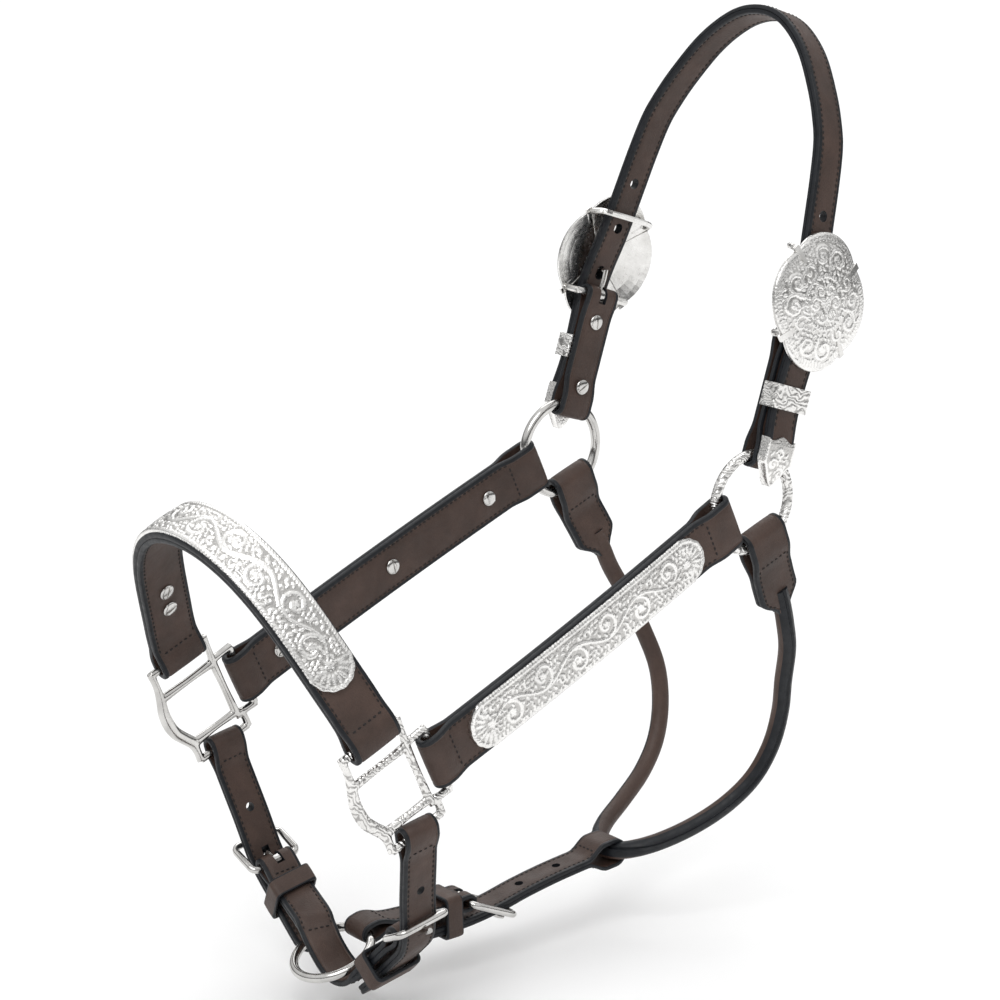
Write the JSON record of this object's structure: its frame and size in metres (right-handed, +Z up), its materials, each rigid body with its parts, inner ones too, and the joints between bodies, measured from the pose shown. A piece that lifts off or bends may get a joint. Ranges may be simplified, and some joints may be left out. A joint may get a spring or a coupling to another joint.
{
  "type": "horse headcollar",
  "caption": "Western show headcollar of brown bridle leather: engraved silver noseband, cheek plates and crown buckles, cast squares, rings, buckled chin and a rolled throat.",
  "frame": {"origin": "under the middle of the crown strap, where the headcollar hangs on the horse's poll", "axes": "+Z up, the horse faces -Y, +X is the horse's left, the near side"},
  "size_m": [0.1902, 0.4022, 0.4981],
  "materials": {
    "leather": "waxed, dark havana brown",
    "silver": "engraved silver plate",
    "steel": "polished nickel plate"
  },
  "bodies": {
    "headcollar": {"crown_strap": "leather", "noseband": "leather", "chin_strap": "leather", "throat_strap": "leather", "connector_strap": "leather", "connector_chape": "leather", "connector_keeper": "leather", "near_crown_chape": "leather", "near_cheek_strap": "leather", "near_chin_billet": "leather", "near_chin_keeper": "leather", "off_crown_chape": "leather", "off_cheek_strap": "leather", "off_chin_billet": "leather", "off_chin_keeper": "leather", "nose_plate": "silver", "near_square": "silver", "near_crown_plate": "silver", "near_crown_tip": "silver", "near_cheek_plate": "silver", "off_crown_plate": "silver", "off_crown_tip": "silver", "off_cheek_plate": "silver", "connector_buckle": "steel", "off_square": "steel", "near_chape_screw_lower": "steel", "near_chape_screw_upper": "steel", "near_cheek_screw_1": "steel", "near_cheek_screw_2": "steel", "near_cheek_screw_3": "steel", "near_nose_screw_lower": "steel", "near_nose_screw_upper": "steel", "near_chin_buckle": "steel", "off_chape_screw_lower": "steel", "off_chape_screw_upper": "steel", "off_cheek_screw_1": "steel", "off_cheek_screw_2": "steel", "off_cheek_screw_3": "steel", "off_nose_screw_lower": "steel", "off_nose_screw_upper": "steel", "off_chin_buckle": "steel"},
    "near_ring": {"near_ring": "silver"},
    "off_ring": {"off_ring": "steel"},
    "chin_ring": {"chin_ring": "steel"},
    "near_crown_tongue": {"near_crown_tongue": "steel"},
    "off_crown_tongue": {"off_crown_tongue": "steel"},
    "near_crown_keeper": {"near_crown_keeper": "silver"},
    "off_crown_keeper": {"off_crown_keeper": "silver"},
    "near_chin_tongue": {"near_chin_tongue": "steel"},
    "off_chin_tongue": {"off_chin_tongue": "steel"},
    "connector_tongue": {"connector_tongue": "steel"}
  },
  "joints": [
    {"name": "near_ring_turn", "type": "hinge", "parent": "headcollar", "child": "near_ring", "pos_m": [0.081, -0.07985, -0.24575], "axis": [1, 0, 0], "continuous": true},
    {"name": "off_ring_turn", "type": "hinge", "parent": "headcollar", "child": "off_ring", "pos_m": [-0.081, -0.07985, -0.24575], "axis": [1, 0, 0], "continuous": true},
    {"name": "chin_ring_turn", "type": "hinge", "parent": "headcollar", "child": "chin_ring", "pos_m": [0.0005, -0.29889, -0.47293], "axis": [0, -0.3671, 0.9302], "continuous": true},
    {"name": "near_crown_tongue_hinge", "type": "hinge", "parent": "headcollar", "child": "near_crown_tongue", "pos_m": [0.081, -0.05204, -0.16016], "axis": [0, -0.9511, 0.309], "range_deg": [0, 60]},
    {"name": "off_crown_tongue_hinge", "type": "hinge", "parent": "headcollar", "child": "off_crown_tongue", "pos_m": [-0.081, -0.05204, -0.16016], "axis": [0, 0.9511, -0.309], "range_deg": [0, 60]},
    {"name": "near_crown_keeper_slide", "type": "slide", "parent": "headcollar", "child": "near_crown_keeper", "axis": [0, 0.309, 0.9511], "range_m": [-0.004, 0.006]},
    {"name": "off_crown_keeper_slide", "type": "slide", "parent": "headcollar", "child": "off_crown_keeper", "axis": [0, 0.309, 0.9511], "range_m": [-0.004, 0.006]},
    {"name": "near_chin_tongue_hinge", "type": "hinge", "parent": "headcollar", "child": "near_chin_tongue", "pos_m": [0.06, -0.29343, -0.4413], "axis": [0, 0.9781, 0.2079], "range_deg": [0, 2]},
    {"name": "off_chin_tongue_hinge", "type": "hinge", "parent": "headcollar", "child": "off_chin_tongue", "pos_m": [-0.06, -0.29343, -0.4413], "axis": [0, -0.9781, -0.2079], "range_deg": [0, 2]},
    {"name": "connector_tongue_hinge", "type": "hinge", "parent": "headcollar", "child": "connector_tongue", "pos_m": [0, -0.21409, -0.46343], "axis": [-1, 0, 0], "range_deg": [0, 2]}
  ]
}
